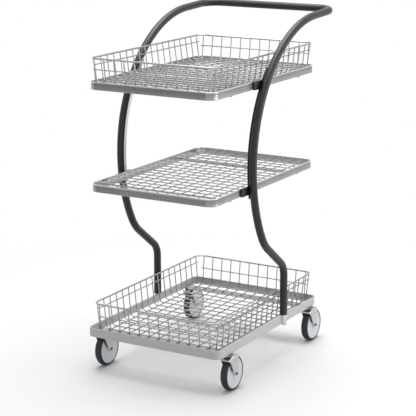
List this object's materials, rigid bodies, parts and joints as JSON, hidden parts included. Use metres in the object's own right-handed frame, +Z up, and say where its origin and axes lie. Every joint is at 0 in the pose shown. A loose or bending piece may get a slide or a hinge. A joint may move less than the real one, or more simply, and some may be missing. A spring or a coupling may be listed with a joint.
{
  "type": "wire basket trolley",
  "caption": "Trolley with a bent tube handle, a wire mesh shelf, a lift-out wire basket on a second shelf, a base with another lift-out wire basket, and swivel castors.",
  "frame": {"origin": "on the floor, at the middle of the object's width and depth", "axes": "+Z up, +X to the right of a person who stands at the front and faces the handle bar, +Y towards the handle bar"},
  "size_m": [0.452, 0.701, 1.0063],
  "materials": {
    "handle_coat": "satin anthracite powder coat",
    "rail_metal": "satin",
    "block_plastic": "fine grained black",
    "screw_metal": "zinc plated",
    "shelf_metal": "bright zinc plated, glossy",
    "mesh_wire": "zinc plated crimped wire",
    "base_coat": "matt light grey powder coat",
    "spigot_metal": "zinc plated",
    "castor_metal": "zinc plated pressed sheet",
    "bolt_metal": "zinc plated",
    "tyre": "matt grey green rubber",
    "wheel_plastic": "smooth light grey",
    "basket_wire": "bright plated welded wire"
  },
  "bodies": {
    "trolley": {"base_frame": "base_coat", "castor_bar_back": "base_coat", "castor_bar_front": "base_coat", "castor_heads": "castor_metal", "castor_pins": "castor_metal", "handle_tube": "handle_coat", "mid_block_left": "block_plastic", "mid_block_right": "block_plastic", "mid_shelf_frame": "shelf_metal", "mid_shelf_mesh": "mesh_wire", "mid_shelf_supports": "shelf_metal", "mid_shelf_tab": "shelf_metal", "rail_left": "rail_metal", "rail_right": "rail_metal", "spigot_left": "spigot_metal", "spigot_right": "spigot_metal", "spigot_screws": "screw_metal", "top_block_left": "block_plastic", "top_block_right": "block_plastic", "top_shelf_frame": "shelf_metal", "top_shelf_mesh": "mesh_wire", "top_shelf_supports": "shelf_metal"},
    "castor_back_left": {"axle_back_left": "bolt_metal", "fork_back_left": "castor_metal"},
    "castor_back_right": {"axle_back_right": "bolt_metal", "fork_back_right": "castor_metal"},
    "castor_front_left": {"axle_front_left": "bolt_metal", "fork_front_left": "castor_metal"},
    "castor_front_right": {"axle_front_right": "bolt_metal", "fork_front_right": "castor_metal"},
    "base_basket": {"base_basket_cross_wires": "basket_wire", "base_basket_long_wires": "basket_wire", "base_basket_mid_wires": "basket_wire", "base_basket_rim": "basket_wire"},
    "wheel_back_left": {"disc_back_left": "wheel_plastic", "tyre_back_left": "tyre"},
    "wheel_back_right": {"disc_back_right": "wheel_plastic", "tyre_back_right": "tyre"},
    "wheel_front_left": {"disc_front_left": "wheel_plastic", "tyre_front_left": "tyre"},
    "wheel_front_right": {"disc_front_right": "wheel_plastic", "tyre_front_right": "tyre"},
    "top_basket": {"top_basket_cross_wires": "basket_wire", "top_basket_long_wires": "basket_wire", "top_basket_mid_wires": "basket_wire", "top_basket_rim": "basket_wire"}
  },
  "joints": [
    {"name": "swivel_front_left", "type": "hinge", "parent": "trolley", "child": "castor_front_left", "pos_m": [-0.207, -0.28752, 0.106], "axis": [0, 0, 1], "continuous": true},
    {"name": "roll_front_left", "type": "hinge", "parent": "castor_front_left", "child": "wheel_front_left", "pos_m": [-0.207, -0.26152, 0.05], "axis": [1, 0, 0], "continuous": true},
    {"name": "swivel_front_right", "type": "hinge", "parent": "trolley", "child": "castor_front_right", "pos_m": [0.207, -0.28752, 0.106], "axis": [0, 0, 1], "continuous": true},
    {"name": "roll_front_right", "type": "hinge", "parent": "castor_front_right", "child": "wheel_front_right", "pos_m": [0.207, -0.26152, 0.05], "axis": [1, 0, 0], "continuous": true},
    {"name": "swivel_back_left", "type": "hinge", "parent": "trolley", "child": "castor_back_left", "pos_m": [-0.207, 0.20748, 0.106], "axis": [0, 0, 1], "continuous": true},
    {"name": "roll_back_left", "type": "hinge", "parent": "castor_back_left", "child": "wheel_back_left", "pos_m": [-0.207, 0.23348, 0.05], "axis": [1, 0, 0], "continuous": true},
    {"name": "swivel_back_right", "type": "hinge", "parent": "trolley", "child": "castor_back_right", "pos_m": [0.207, 0.20748, 0.106], "axis": [0, 0, 1], "continuous": true},
    {"name": "roll_back_right", "type": "hinge", "parent": "castor_back_right", "child": "wheel_back_right", "pos_m": [0.207, 0.23348, 0.05], "axis": [1, 0, 0], "continuous": true},
    {"name": "lift_top_basket", "type": "slide", "parent": "trolley", "child": "top_basket", "axis": [0, 0, 1], "range_m": [0, 0.16]},
    {"name": "lift_base_basket", "type": "slide", "parent": "trolley", "child": "base_basket", "axis": [0, 0, 1], "range_m": [0, 0.2]}
  ]
}
